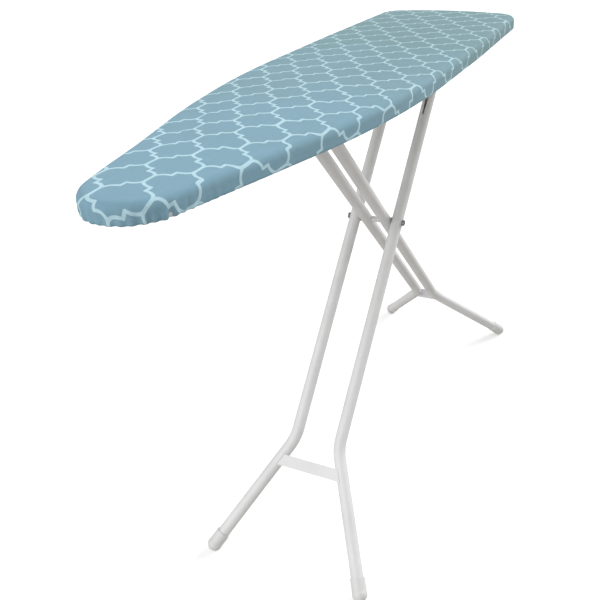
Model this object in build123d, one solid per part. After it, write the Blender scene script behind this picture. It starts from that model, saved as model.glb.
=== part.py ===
from build123d import *
import os
from math import atan2, cos, degrees, hypot, radians, sin, sqrt, tan

# Folding ironing board: a padded, covered steel top on two crossing leg frames.
# Origin on the floor under the middle of the top, +X towards the blunt tail, +Z up, millimetres.

# ---- Board top, seen from above ----
board_length = 1346.0
board_half_width = 181.0
nose_radius = 68.0
flank_angle = 14.6          # how fast the nose widens, degrees
shoulder_radius = 1765.0
side_break_x = 300.0        # where the sides start to draw in
side_break_radius = 3000.0
tail_half_width = 172.0
tail_corner_radius = 52.0
tail_lean = 12.0            # how far the tail edge leans back, degrees
tail_radius = 457.0

# ---- Board top, seen from the side ----
surface_height = 935.0
cover_thickness = 1.2
cover_edge_radius = 8.0
pad_thickness = 8.3
soft_clearance = 0.3
sheet_thickness = 0.9
rim_height = 19.0
rim_wall = 1.2
rim_lip = 9.0
hem_width = 17.0
hem_gap = 1.4               # room for the elastic between the hem and the rim
elastic_width = 5.0
elastic_thickness = 1.0

# ---- Perforations ----
hole_radius = 7.0
hole_pitch_x = 48.0
hole_pitch_y = 24.0
hole_edge_margin = 16.0

# ---- Underside ribs and straps ----
rib_offset = 75.0
rib_width = 22.0
rib_depth = 12.0
rib_wall = 1.0
rib_nose_margin = 203.0
rib_tail_margin = 153.0
strap_width = 40.0
strap_thickness = 1.5
strap_overhang = 3.0
rivet_radius = 2.0
rivet_head_radius = 4.2
rivet_head_height = 1.4

# ---- Leg frames ----
pivot_drop = 50.0           # both top pivots below the ironing surface
leg_angle = 43.0            # each leg frame's lean from upright, degrees
upper_leg = 426.0           # from a top pivot to the centre pivot, the same on both frames
centre_pivot_x = 136.5
tube_radius = 12.7
tube_wall = 1.2
tube_end = 13.0             # tube left beyond the top pivot
inner_spacing = 46.0        # between the inner frame's tube axes
tube_side_gap = 1.6         # between an inner tube and the outer tube beside it
bend_height = 203.0
bend_radius = 100.0
outer_foot_spread = 168.0   # half the distance between the outer frame's feet
inner_foot_spread = 175.0
foot_ball_wall = 2.6        # how much further the foot's ball stands out than the tube
foot_flat_depth = 0.6
foot_sleeve_wall = 2.0
foot_sleeve_length = 30.0
foot_seat = 6.0             # from the ball's centre to the tube's end
bar_drop = 40.0             # from the bend to the top of the crossbar, along the leg
bar_height = 24.0
bar_thickness = 3.0
bar_set_back = 1.0          # the bar's face behind the front of the tubes
edge_bar_drop = 12.0        # the inner frame's bar stands on edge, this far below the bend
edge_bar_width = 24.0
mouth_width = 9.0           # opening in each outer tube's nose side, for the lug it hangs on
mouth_straight = 100.0      # how far below the pivot the opening starts to narrow
mouth_length = 170.0
mouth_end_width = 3.0
plug_thickness = 2.0
plug_depth = 8.0

# ---- Pins ----
pin_radius = 4.0
running_clearance = 0.05
side_clearance = 0.2
nut_radius = 6.5
nut_height = 4.0
nut_grip = 1.0              # pin left beyond the nut's middle
washer_radius = 9.0
sleeve_radius = 6.2

# ---- Pivot bracket and height track ----
lug_thickness = 3.0
lug_radius = 8.0
bracket_length = 44.0
bracket_rivet_offset = 18.0
spacer_radius = 6.5
track_half_width = 8.0
track_wall = 2.0
track_web = 2.0             # also the pivot bracket's plate
track_tail_margin = 15.0    # track beyond the lever's rod
track_nose_margin = 45.0
track_depth_below_pivot = 12.0
slot_end_room = 1.0
bush_radius = 8.0

# ---- Height rack and release lever ----
rack_thickness = 3.0
rack_lift = 0.6             # rack clear of the slide rod when it is lifted
rack_drop = 6.0             # how far the rack falls to lock the rod
rack_top_gap = 1.6
rack_pitch = 30.0
rack_notches = 9
rack_notch_clearance = 0.3
rack_tail_gap = 12.0        # from the lever's rod to the rack's end
rack_end_margin = 16.0
rack_nose_margin = 2.0
rack_guide_x = 30.0         # from the slide rod to the tail-side guide pin
guide_pin_radius = 2.5
guide_pin_rise = 10.0
guide_head_radius = 4.0
guide_head_height = 1.0
lever_ahead = 69.0          # from the slide rod to the lever's rod
lever_rise = 16.2
lever_rod_radius = 3.0
lever_reach = 128.0
lever_arm = 81.0
lever_arm_drop = 14.5
lever_bend_radius = 12.0
finger_reach = 20.0
finger_rise = 3.0
finger_pin_radius = 2.0
finger_plate = 2.8
finger_side_gap = 0.9
finger_slot_clearance = 0.05
finger_slot_room = 1.0
finger_eye_wall = 1.3
finger_overhang = 1.5
hub_radius = 7.0
grip_radius = 7.0
grip_start = 24.0
grip_end_wall = 3.0
grip_edge = 2.0
lever_start = 2.0           # rod left on the near side of the track
hanger_thickness = 3.0
hanger_width = 20.0
hanger_below_rod = 7.0
spring_wire_radius = 0.6
spring_radius = 5.4
spring_turns = 5
spring_length = 10.0
spring_gap = 0.8

# ---- Worked-out places ----
lean = radians(leg_angle)
pivot_height = surface_height - pivot_drop
foot_ball_radius = tube_radius + foot_ball_wall
foot_sleeve_radius = tube_radius + foot_sleeve_wall
hem_bottom = surface_height - cover_thickness - pad_thickness - sheet_thickness - rim_height \
    - hem_gap - cover_thickness
rim_bottom = hem_bottom + cover_thickness + hem_gap
deck_bottom = rim_bottom + rim_height
deck_top = deck_bottom + sheet_thickness
pad_top = surface_height - cover_thickness
rim_inset = cover_thickness + soft_clearance
rib_bottom = deck_bottom - rib_depth
strap_bottom = rib_bottom - strap_thickness
web_bottom = strap_bottom - track_web
rib_start_x = rib_nose_margin - board_length / 2
rib_end_x = board_length / 2 - rib_tail_margin
rack_bottom = pivot_height + pin_radius + rack_lift
rack_top = web_bottom - rack_top_gap

inner_axis = inner_spacing / 2
outer_axis = inner_axis + 2 * tube_radius + tube_side_gap
outer_pivot_x = centre_pivot_x + upper_leg * sin(lean)
inner_pivot_x = centre_pivot_x - upper_leg * sin(lean)
centre_pivot_z = pivot_height - upper_leg * cos(lean)
lever_x = inner_pivot_x + lever_ahead
track_tail_x = lever_x + track_tail_margin
rack_tail_x = lever_x - rack_tail_gap
folded_slide_x = outer_pivot_x - 2 * upper_leg
foot_centre_z = foot_ball_radius - foot_flat_depth
foot_drop = (pivot_height - foot_centre_z) / cos(lean)
bend_drop = (pivot_height - bend_height) / cos(lean)
track_nose_x = folded_slide_x - track_nose_margin
front_strap_x = track_nose_x + strap_width / 2
middle_strap_x = inner_pivot_x
lever_z = pivot_height + lever_rise

os.makedirs("parts", exist_ok=True)


def save(name, shape):
    """Write one sub-part to its own file."""
    export_step(shape, os.path.join("parts", name + ".step"))


def block(x0, x1, y0, y1, z0, z1):
    """Box between two corners."""
    middle = Pos((x0 + x1) / 2, (y0 + y1) / 2, (z0 + z1) / 2)
    return middle * Box(x1 - x0, y1 - y0, z1 - z0)


def cross_pin(x, z, radius, y0, y1):
    """Cylinder along Y."""
    return Pos(x, (y0 + y1) / 2, z) * Rot(90, 0, 0) * Cylinder(radius, y1 - y0)


def upright_pin(x, y, radius, z0, z1):
    """Cylinder along Z."""
    return Pos(x, y, (z0 + z1) / 2) * Cylinder(radius, z1 - z0)


def outline_corners():
    """Corners of the top's straight-sided outline, anticlockwise, each with its rounding radius."""
    half = board_length / 2
    widen = radians(flank_angle)
    nose_x = -half + nose_radius - nose_radius / sin(widen)
    shoulder_x = nose_x + board_half_width / tan(widen)
    back = radians(tail_lean)
    tail_x = half + tail_radius * (1 / cos(back) - 1)
    corner_x = tail_x - tail_half_width * tan(back)
    right = [(tail_x, 0.0, tail_radius), (corner_x, tail_half_width, tail_corner_radius),
             (side_break_x, board_half_width, side_break_radius),
             (shoulder_x, board_half_width, shoulder_radius), (nose_x, 0.0, nose_radius)]
    left = [(x, -y, r) for x, y, r in reversed(right[1:-1])]
    return right + left


def inset_corners(inset):
    """The outline's corners moved inwards by inset, with the radii that keep the edges parallel."""
    corners = outline_corners()
    count = len(corners)
    lines = []
    for i in range(count):
        x0, y0, _ = corners[i]
        x1, y1, _ = corners[(i + 1) % count]
        run = hypot(x1 - x0, y1 - y0)
        ux, uy = (x1 - x0) / run, (y1 - y0) / run
        lines.append((x0 - uy * inset, y0 + ux * inset, ux, uy))
    moved = []
    for i in range(count):
        ax, ay, ux, uy = lines[i - 1]
        bx, by, vx, vy = lines[i]
        along = ((bx - ax) * vy - (by - ay) * vx) / (ux * vy - uy * vx)
        moved.append((ax + ux * along, ay + uy * along, corners[i][2] - inset))
    return moved


def outline_wire(inset):
    """Closed outline of the top at z = 0, moved inwards by inset."""
    corners = inset_corners(inset)
    count = len(corners)
    arcs = []
    for i in range(count):
        x, y, radius = corners[i]
        px, py, _ = corners[i - 1]
        nx, ny, _ = corners[(i + 1) % count]
        before = Vector(px - x, py - y).normalized()
        after = Vector(nx - x, ny - y).normalized()
        half_angle = before.get_angle(after) / 2
        reach = radius / tan(radians(half_angle))
        depth = radius / sin(radians(half_angle)) - radius
        middle = (before + after).normalized()
        corner = Vector(x, y)
        arcs.append((corner + before * reach, corner + middle * depth, corner + after * reach))
    edges = []
    for i in range(count):
        start, middle, end = arcs[i]
        edges.append(ThreePointArc(start, middle, end).edge())
        edges.append(Line(end, arcs[(i + 1) % count][0]).edge())
    return Wire(edges)


def plate(inset, z0, z1):
    """The whole outline as a flat plate."""
    return Pos(0, 0, z0) * extrude(Face(outline_wire(inset)), z1 - z0, dir=(0, 0, 1))


def ring(outer_inset, inner_inset, z0, z1):
    """A band that follows the outline."""
    face = Face(outline_wire(outer_inset), [outline_wire(inner_inset)])
    return Pos(0, 0, z0) * extrude(face, z1 - z0, dir=(0, 0, 1))


def domed_plate(inset, z0, z1, radius):
    """A plate with a rounded upper edge."""
    body = plate(inset, z0, z1)
    return fillet(body.faces().sort_by(Axis.Z)[-1].edges(), radius)


# ================= Board top =================
def deck():
    """Perforated steel sheet that carries the pad."""
    limit = Face(outline_wire(rim_inset + hole_edge_margin))
    columns = int(board_length / 2 / hole_pitch_x) + 1
    rows = int(board_half_width / hole_pitch_y) + 1
    holes = []
    for row in range(-rows, rows + 1):
        y = row * hole_pitch_y
        if abs(abs(y) - rib_offset) < rib_width / 2 + hole_radius:
            continue
        shift = hole_pitch_x / 2 if row % 2 else 0.0
        for column in range(-columns, columns + 1):
            x = column * hole_pitch_x + shift
            if limit.is_inside(Vector(x, y, 0)):
                holes.append(Wire([Edge.make_circle(hole_radius, Plane((x, y, 0)))]))
    face = Face(outline_wire(rim_inset), holes)
    return Pos(0, 0, deck_bottom) * extrude(face, sheet_thickness, dir=(0, 0, 1))


def rim():
    """Folded edge of the top: an upright wall with a lip turned inwards at its foot."""
    wall = ring(rim_inset, rim_inset + rim_wall, rim_bottom, deck_bottom)
    lip = ring(rim_inset, rim_inset + rim_lip, rim_bottom, rim_bottom + rim_wall)
    return wall + lip


def pad():
    """Felt pad with a rounded edge, as wide as the deck."""
    radius = cover_edge_radius - cover_thickness - soft_clearance
    return domed_plate(rim_inset, deck_top, pad_top, radius)


def cover():
    """Cloth cover: over the pad, down the rim and turned in under it."""
    outside = domed_plate(0.0, hem_bottom, surface_height, cover_edge_radius)
    inside = domed_plate(cover_thickness, hem_bottom + cover_thickness, pad_top,
                         cover_edge_radius - cover_thickness)
    mouth = plate(hem_width, hem_bottom - 1, hem_bottom + cover_thickness + 1)
    return outside - inside - mouth


def hem_elastic():
    """Flat elastic in the hem that pulls the cover in under the rim."""
    base = hem_bottom + cover_thickness
    return ring(hem_width - elastic_width, hem_width, base, base + elastic_thickness)


# ================= Underside =================
def rib(side):
    """Channel spot-welded under the deck, open upwards."""
    middle = side * rib_offset
    half = rib_width / 2
    body = block(rib_start_x, rib_end_x, middle - half, middle + half, rib_bottom, deck_bottom)
    hollow = block(rib_start_x - 1, rib_end_x + 1, middle - half + rib_wall,
                   middle + half - rib_wall, rib_bottom + rib_wall, deck_bottom + 1)
    body -= hollow
    for x in (front_strap_x, middle_strap_x, outer_pivot_x):
        body -= upright_pin(x, middle, rivet_radius, rib_bottom - 1, rib_bottom + rib_wall + 1)
    return body


def bracket_rivet_places():
    """Where the pivot bracket is riveted to its strap."""
    spread = bracket_length / 4
    rows = (-bracket_rivet_offset, bracket_rivet_offset)
    return [(outer_pivot_x + dx, dy) for dx in (-spread, spread) for dy in rows]


def track_rivet_places():
    """Where the track is riveted to its two straps."""
    spread = strap_width / 4
    return [(x + dx, 0.0) for x in (front_strap_x, middle_strap_x) for dx in (-spread, spread)]


def strap(x):
    """Cross strap from rib to rib."""
    half = strap_width / 2
    reach = rib_offset + rib_width / 2 + strap_overhang
    body = block(x - half, x + half, -reach, reach, strap_bottom, rib_bottom)
    for side in (-1, 1):
        body -= upright_pin(x, side * rib_offset, rivet_radius, strap_bottom - 1, rib_bottom + 1)
    for px, py in bracket_rivet_places() + track_rivet_places():
        if abs(px - x) < half:
            body -= upright_pin(px, py, rivet_radius, strap_bottom - 1, rib_bottom + 1)
    return body


def rivet(x, y, low, high):
    """Rivet whose two heads clamp the stack between low and high."""
    shank = upright_pin(x, y, rivet_radius, low, high)
    foot = upright_pin(x, y, rivet_head_radius, low - rivet_head_height, low)
    head = upright_pin(x, y, rivet_head_radius, high, high + rivet_head_height)
    return shank + foot + head


def rib_rivets():
    """Rivets that hold the straps to the ribs."""
    places = [(x, side * rib_offset) for x in (front_strap_x, middle_strap_x, outer_pivot_x)
              for side in (-1, 1)]
    return Compound([rivet(x, y, strap_bottom, rib_bottom + rib_wall) for x, y in places])


def hanger_rivets():
    """Rivets that hold the bracket and the track to the straps."""
    places = bracket_rivet_places() + track_rivet_places()
    return Compound([rivet(x, y, web_bottom, rib_bottom) for x, y in places])


def pivot_bracket():
    """Folded plate with two lugs, one inside the top of each outer tube."""
    half = bracket_length / 2
    x = outer_pivot_x
    w = outer_axis + lug_thickness / 2
    body = block(x - half, x + half, -w, w, web_bottom, strap_bottom)
    for side in (-1, 1):
        low = side * outer_axis - lug_thickness / 2
        high = low + lug_thickness
        body += block(x - lug_radius, x + lug_radius, low, high, pivot_height, web_bottom)
        body += cross_pin(x, pivot_height, lug_radius, low, high)
    body -= cross_pin(x, pivot_height, pin_radius + running_clearance, -w - 1, w + 1)
    for rivet_x, rivet_y in bracket_rivet_places():
        body -= upright_pin(rivet_x, rivet_y, rivet_radius, web_bottom - 1, strap_bottom + 1)
    return body


def guide_pin_places():
    """Where the two pins that guide the rack cross the track."""
    z = pivot_height + guide_pin_rise
    return [(track_nose_x + rack_end_margin, z), (inner_pivot_x + rack_guide_x, z)]


def track():
    """Height track: a channel, open downwards, with a long slot for the slide rod in each wall."""
    w = track_half_width
    low = pivot_height - track_depth_below_pivot
    body = block(track_nose_x, track_tail_x, -w, w, low, strap_bottom)
    inner = w - track_wall
    body -= block(track_nose_x - 1, track_tail_x + 1, -inner, inner, low - 1, web_bottom)
    slot_radius = pin_radius + running_clearance
    slot_nose = folded_slide_x - slot_end_room
    body -= block(slot_nose, inner_pivot_x, -w - 1, w + 1, pivot_height - slot_radius,
                  pivot_height + slot_radius)
    for x in (slot_nose, inner_pivot_x):
        body -= cross_pin(x, pivot_height, slot_radius, -w - 1, w + 1)
    for x, z in guide_pin_places():
        body -= cross_pin(x, z, guide_pin_radius, -w - 1, w + 1)
    body -= cross_pin(lever_x, lever_z, lever_rod_radius + running_clearance, -w - 1, w + 1)
    for x, y in track_rivet_places():
        body -= upright_pin(x, y, rivet_radius, web_bottom - 1, strap_bottom + 1)
    return body


def guide_pins():
    """Two headed pins that guide the rack up and down."""
    w = track_half_width
    pins = []
    for x, z in guide_pin_places():
        pin = cross_pin(x, z, guide_pin_radius, -w, w)
        for side in (-1, 1):
            low, high = sorted((side * w, side * (w + guide_head_height)))
            pin += cross_pin(x, z, guide_head_radius, low, high)
        pins.append(pin)
    return Compound(pins)


def lever_hanger():
    """Lug under the far rib that carries the release lever's rod."""
    half = hanger_width / 2
    body = block(lever_x - half, lever_x + half, rib_offset - hanger_thickness / 2,
                 rib_offset + hanger_thickness / 2, lever_z - hanger_below_rod, rib_bottom)
    return body - cross_pin(lever_x, lever_z, lever_rod_radius + running_clearance,
                            rib_offset - hanger_thickness, rib_offset + hanger_thickness)


# ================= Height rack and release lever =================
def rack():
    """Notched bar above the slide rod; dropping it locks the rod in a notch."""
    half = rack_thickness / 2
    nose = track_nose_x + rack_nose_margin
    body = block(nose, rack_tail_x, -half, half, rack_bottom, rack_top)
    notch_radius = pin_radius + rack_notch_clearance
    notch_z = pivot_height + rack_drop
    steps = [inner_pivot_x - k * rack_pitch for k in range(rack_notches)]
    for x in steps + [folded_slide_x]:
        body -= cross_pin(x, notch_z, notch_radius, -half - 1, half + 1)
        body -= block(x - notch_radius, x + notch_radius, -half - 1, half + 1, rack_bottom - 1,
                      notch_z)
    guide = guide_pin_radius + running_clearance
    for x, z in guide_pin_places():
        body -= cross_pin(x, z, guide, -half - 1, half + 1)
        body -= cross_pin(x, z + rack_drop, guide, -half - 1, half + 1)
        body -= block(x - guide, x + guide, -half - 1, half + 1, z, z + rack_drop)
    x, z = finger_pin_place()
    slot = finger_pin_radius + finger_slot_clearance
    room = finger_slot_room
    for dx in (-room, room):
        body -= cross_pin(x + dx, z, slot, -half - 1, half + 1)
    body -= block(x - room, x + room, -half - 1, half + 1, z - slot, z + slot)
    return body


def finger_pin_place():
    """Centre of the lever's finger pin when the rack is lifted."""
    back = sqrt(finger_reach ** 2 - finger_rise ** 2)
    return lever_x - back, lever_z + finger_rise


def lever_path():
    """Centre line of the lever's bent rod: across the board, then along it to the handle."""
    start = (lever_x, -track_half_width - lever_start, lever_z)
    corner = (lever_x, lever_reach, lever_z)
    end = (lever_x - lever_arm, lever_reach, lever_z - lever_arm_drop)
    return start, corner, end


def lever_rod():
    """Bent rod of the release lever."""
    path = FilletPolyline(*lever_path(), radius=lever_bend_radius)
    section = Plane(path @ 0, z_dir=path % 0) * Circle(lever_rod_radius)
    return sweep(section, path=path)


def lever_finger():
    """Plate and pin welded to the rod that lift the rack."""
    low = rack_thickness / 2 + finger_side_gap
    high = low + finger_plate
    x, z = finger_pin_place()
    hub = cross_pin(lever_x, lever_z, hub_radius, low, high)
    eye_radius = finger_pin_radius + finger_eye_wall
    eye = cross_pin(x, z, eye_radius, low, high)
    angle = degrees(atan2(z - lever_z, x - lever_x))
    middle = Pos((x + lever_x) / 2, (low + high) / 2, (z + lever_z) / 2)
    web = middle * Rot(0, -angle, 0) * Box(finger_reach, high - low, 2 * eye_radius)
    body = hub + eye + web
    body += cross_pin(x, z, finger_pin_radius, -rack_thickness / 2 - finger_overhang, high)
    return body - cross_pin(lever_x, lever_z, lever_rod_radius, low - 1, high + 1)


def lever_grip():
    """Soft grip pushed over the end of the lever's rod."""
    _, corner, end = lever_path()
    corner, end = Vector(*corner), Vector(*end)
    along = (end - corner).normalized()
    length = (end - corner).length - grip_start + grip_end_wall
    frame = Plane(corner + along * grip_start, z_dir=along)
    body = Pos(0, 0, length / 2) * Cylinder(grip_radius, length)
    body = fillet(body.edges().filter_by(GeomType.CIRCLE), grip_edge)
    depth = length - grip_end_wall
    bore = Pos(0, 0, depth / 2) * Cylinder(lever_rod_radius, depth)
    return frame * (body - bore)


def lever_spring():
    """Torsion spring on the lever's rod that pushes the rack down."""
    start = rib_offset - hanger_thickness / 2 - spring_gap - spring_length
    coil = Helix(pitch=(spring_length - 2 * spring_wire_radius) / spring_turns,
                 height=spring_length - 2 * spring_wire_radius, radius=spring_radius)
    section = Plane(coil @ 0, z_dir=coil % 0) * Circle(spring_wire_radius)
    wire = sweep(section, path=coil, is_frenet=True)
    return Pos(lever_x, start + spring_wire_radius, lever_z) * Rot(-90, 0, 0) * wire


# ================= Leg frames =================
# Each frame is drawn hanging straight down from its top pivot, then turned about that pivot.
def lean_back(shape):
    """Put the outer frame in place: its feet go towards the nose."""
    return Pos(outer_pivot_x, 0, pivot_height) * Rot(0, leg_angle, 0) * shape


def lean_forward(shape):
    """Put the inner frame in place: its feet go towards the tail."""
    return Pos(inner_pivot_x, 0, pivot_height) * Rot(0, -leg_angle, 0) * shape


def leg_points(axis, spread, side):
    """Top, bend and foot centre of one tube."""
    return [Vector(0, side * axis, tube_end), Vector(0, side * axis, -bend_drop),
            Vector(0, side * spread, -foot_drop)]


def leg_rod(axis, spread, side, radius):
    """Solid rod of the given radius along one tube's centre line."""
    top, bend, foot = leg_points(axis, spread, side)
    end = foot + (bend - foot).normalized() * foot_seat
    path = FilletPolyline(top, bend, end, radius=bend_radius)
    section = Plane(path @ 0, z_dir=path % 0) * Circle(radius)
    return sweep(section, path=path)


def leg_tube(axis, spread, side, pin_holes):
    """Bent tube, drilled across at each (distance from the top, radius) in pin_holes."""
    tube = leg_rod(axis, spread, side, tube_radius)
    tube -= leg_rod(axis, spread, side, tube_radius - tube_wall)
    for drop, radius in pin_holes:
        tube -= cross_pin(0, -drop, radius, side * axis - 2 * tube_radius,
                          side * axis + 2 * tube_radius)
    return tube


def tube_mouth(side):
    """Cutter for the long tapered opening on the nose side of an outer tube's top."""
    wide, narrow = mouth_width / 2, mouth_end_width / 2
    top, low = tube_end + 1, narrow - mouth_length
    shape = Polyline((-wide, top), (-wide, -mouth_straight), (-narrow, low), (narrow, low),
                     (wide, -mouth_straight), (wide, top), close=True)
    face = Plane.YZ * (make_face(shape) + Pos(0, low) * Circle(narrow))
    return Pos(-tube_radius - 1, side * outer_axis, 0) * extrude(face, tube_radius + 1, dir=(1, 0, 0))


def crossbar(axis, spread):
    """Flat bar below the bends that laps on the nose side of the two tubes it is welded to."""
    top = -bend_drop - bar_drop
    face = bar_set_back - tube_radius
    bar = block(face, face + bar_thickness, -spread, spread, top - bar_height, top)
    for side in (-1, 1):
        bar -= leg_rod(axis, spread, side, tube_radius)
    return bar.solids().sort_by(lambda s: abs(s.center().Y))[0]


def edge_bar(axis, spread):
    """Flat bar just below the bends, on edge between the two tubes it is welded to."""
    top = -bend_drop - edge_bar_drop
    reach = edge_bar_width / 2
    bar = block(-reach, reach, -spread, spread, top - bar_thickness, top)
    for side in (-1, 1):
        bar -= leg_rod(axis, spread, side, tube_radius)
    return bar.solids().sort_by(lambda s: abs(s.center().Y))[0]


def foot_cap(axis, spread, side, place):
    """Foot: a sleeve over the tube's end, with a ball that has a small flat on the floor."""
    _, bend, foot = leg_points(axis, spread, side)
    frame = Plane(foot, z_dir=(bend - foot).normalized())
    sleeve = Pos(0, 0, foot_sleeve_length / 2) * Cylinder(foot_sleeve_radius, foot_sleeve_length)
    socket_length = foot_sleeve_length - foot_seat
    socket = Pos(0, 0, foot_seat + socket_length / 2) * Cylinder(tube_radius, socket_length)
    body = place(frame * (sleeve + Sphere(foot_ball_radius) - socket))
    size = board_length
    return body - block(-size, size, -size, size, -4 * foot_ball_radius, 0)


def tube_plugs(axis):
    """Plugs in the top ends of a frame's two tubes."""
    inner = tube_radius - tube_wall
    plugs = []
    for side in (-1, 1):
        y = side * axis
        cap = upright_pin(0, y, tube_radius, tube_end, tube_end + plug_thickness)
        plugs.append(cap + upright_pin(0, y, inner, tube_end - plug_depth, tube_end))
    return Compound(plugs)


def pair_along_y(x, z, radius, inner, outer, bore=0.0):
    """Two discs along Y, mirrored about the board's middle, bored if asked."""
    discs = []
    for side in (-1, 1):
        low, high = sorted((side * inner, side * outer))
        disc = cross_pin(x, z, radius, low, high)
        if bore:
            disc -= cross_pin(x, z, bore, low - 1, high + 1)
        discs.append(disc)
    return Compound(discs)


outer_face = outer_axis + tube_radius
inner_face = inner_axis + tube_radius
outer_holes = [(0.0, pin_radius), (upper_leg, pin_radius)]
inner_holes = [(0.0, pin_radius), (upper_leg, pin_radius + running_clearance)]

save("deck", deck())
save("rim", rim())
save("pad", pad())
save("cover", cover())
save("hem_elastic", hem_elastic())
save("rib_far", rib(1))
save("rib_near", rib(-1))
save("strap_front", strap(front_strap_x))
save("strap_middle", strap(middle_strap_x))
save("strap_rear", strap(outer_pivot_x))
save("rib_rivets", rib_rivets())
save("hanger_rivets", hanger_rivets())
save("pivot_bracket", pivot_bracket())
save("height_track", track())
save("guide_pins", guide_pins())
save("lever_hanger", lever_hanger())
save("height_rack", rack())
save("lever_rod", lever_rod())
save("lever_finger", lever_finger())
save("lever_grip", lever_grip())
save("lever_spring", lever_spring())

for label, side in (("far", 1), ("near", -1)):
    outer_tube = leg_tube(outer_axis, outer_foot_spread, side, outer_holes) - tube_mouth(side)
    save("outer_tube_" + label, lean_back(outer_tube))
    save("outer_foot_" + label, foot_cap(outer_axis, outer_foot_spread, side, lean_back))
    inner_tube = leg_tube(inner_axis, inner_foot_spread, side, inner_holes)
    save("inner_tube_" + label, lean_forward(inner_tube))
    save("inner_foot_" + label, foot_cap(inner_axis, inner_foot_spread, side, lean_forward))
save("outer_crossbar", lean_back(crossbar(outer_axis, outer_foot_spread)))
save("inner_crossbar", lean_forward(edge_bar(inner_axis, inner_foot_spread)))
save("inner_plugs", lean_forward(tube_plugs(inner_axis)))

# Top pivots of the outer frame: one short pin across each tube, through the bracket's lug.
nut_end = outer_face + nut_height
pin_end = nut_end - nut_grip
save("top_pins", pair_along_y(outer_pivot_x, pivot_height, pin_radius,
                              outer_axis - tube_radius, pin_end))
save("top_nuts", pair_along_y(outer_pivot_x, pivot_height, nut_radius, outer_face, nut_end,
                              pin_radius))
spacer_start = lug_thickness / 2 + side_clearance
bore_half_width = sqrt((tube_radius - tube_wall) ** 2 - spacer_radius ** 2)
spacer_length = bore_half_width - side_clearance - spacer_start
spacers = [pair_along_y(outer_pivot_x, pivot_height, spacer_radius, start, start + spacer_length,
                        pin_radius)
           for start in (outer_axis + spacer_start, outer_axis - spacer_start - spacer_length)]
save("top_spacers", Compound([disc for pair in spacers for disc in pair.solids()]))

# Centre pivot, through all four tubes.
save("centre_rod", cross_pin(centre_pivot_x, centre_pivot_z, pin_radius, -pin_end, pin_end))
save("centre_nuts", pair_along_y(centre_pivot_x, centre_pivot_z, nut_radius, outer_face,
                                 nut_end, pin_radius))
save("centre_washers", pair_along_y(centre_pivot_x, centre_pivot_z, washer_radius,
                                    inner_face + side_clearance, outer_axis - tube_radius,
                                    pin_radius))
sleeve_end = inner_axis - tube_radius
sleeve = cross_pin(centre_pivot_x, centre_pivot_z, sleeve_radius, -sleeve_end, sleeve_end)
save("centre_sleeve", sleeve - cross_pin(centre_pivot_x, centre_pivot_z,
                                         pin_radius + running_clearance,
                                         -sleeve_end - 1, sleeve_end + 1))

# Slide rod at the top of the inner frame, which runs in the track's slots.
rod_end = inner_face + tube_side_gap / 2
save("slide_rod", cross_pin(inner_pivot_x, pivot_height, pin_radius, -rod_end, rod_end))
save("slide_bushes", pair_along_y(inner_pivot_x, pivot_height, bush_radius,
                                  track_half_width + side_clearance,
                                  inner_axis - tube_radius, pin_radius))
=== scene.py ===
import bpy
import bmesh
from math import cos, pi, radians, sin, sqrt, tan
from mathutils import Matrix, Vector, noise


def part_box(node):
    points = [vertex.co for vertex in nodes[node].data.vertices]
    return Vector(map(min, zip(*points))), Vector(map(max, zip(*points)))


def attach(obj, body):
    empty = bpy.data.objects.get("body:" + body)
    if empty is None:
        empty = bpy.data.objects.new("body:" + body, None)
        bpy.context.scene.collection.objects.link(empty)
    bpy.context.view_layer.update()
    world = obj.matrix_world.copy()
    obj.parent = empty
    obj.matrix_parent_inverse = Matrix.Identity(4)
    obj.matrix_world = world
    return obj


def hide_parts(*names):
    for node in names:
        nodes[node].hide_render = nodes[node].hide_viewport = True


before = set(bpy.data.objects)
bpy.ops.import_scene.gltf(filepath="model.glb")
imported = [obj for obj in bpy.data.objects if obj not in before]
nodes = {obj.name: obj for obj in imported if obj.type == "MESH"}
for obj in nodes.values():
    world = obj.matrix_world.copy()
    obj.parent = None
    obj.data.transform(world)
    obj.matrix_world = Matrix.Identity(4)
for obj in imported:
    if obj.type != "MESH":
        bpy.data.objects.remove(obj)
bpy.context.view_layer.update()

# ---- Viewpoint ----
# A camera on the nose side of the board, above it and a little to the near side.
eye = bpy.data.cameras.new("camera")
eye.sensor_width = 36.0
eye.lens = 45.03
eye.shift_x = -0.0845
eye.shift_y = -0.0195
camera = bpy.data.objects.new("camera", eye)
camera.location = (-1.2808, -0.6045, 1.2542)
camera.rotation_euler = (radians(60.94), radians(2.19), radians(-65.76))
bpy.context.scene.collection.objects.link(camera)
bpy.context.scene.camera = camera

# ---- Studio ----
# A pale seamless floor, one soft light from each side and an even pale surround. The floor and
# the surround look white but send back little light, so the board's own sides keep their shade.
bpy.context.scene.view_settings.view_transform = "Standard"
bpy.ops.object.select_all(action="DESELECT")
bpy.ops.mesh.primitive_circle_add(vertices=96, radius=40.0, fill_type="NGON")
floor_sheet = bpy.context.object
floor_sheet.name = "floor"
floor_finish = bpy.data.materials.new("studio_floor")
floor_finish.use_nodes = True
floor_shader = floor_finish.node_tree.nodes["Principled BSDF"]
seen = floor_finish.node_tree.nodes.new("ShaderNodeLightPath")
floor_tone = floor_finish.node_tree.nodes.new("ShaderNodeMix")
floor_tone.data_type = "RGBA"
floor_tone.inputs["A"].default_value = (0.50, 0.475, 0.455, 1)
floor_tone.inputs["B"].default_value = (0.86, 0.865, 0.865, 1)
floor_glow = floor_finish.node_tree.nodes.new("ShaderNodeMix")
floor_glow.data_type = "RGBA"
floor_glow.inputs["A"].default_value = (0, 0, 0, 1)
floor_glow.inputs["B"].default_value = (0.30, 0.30, 0.30, 1)
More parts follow.
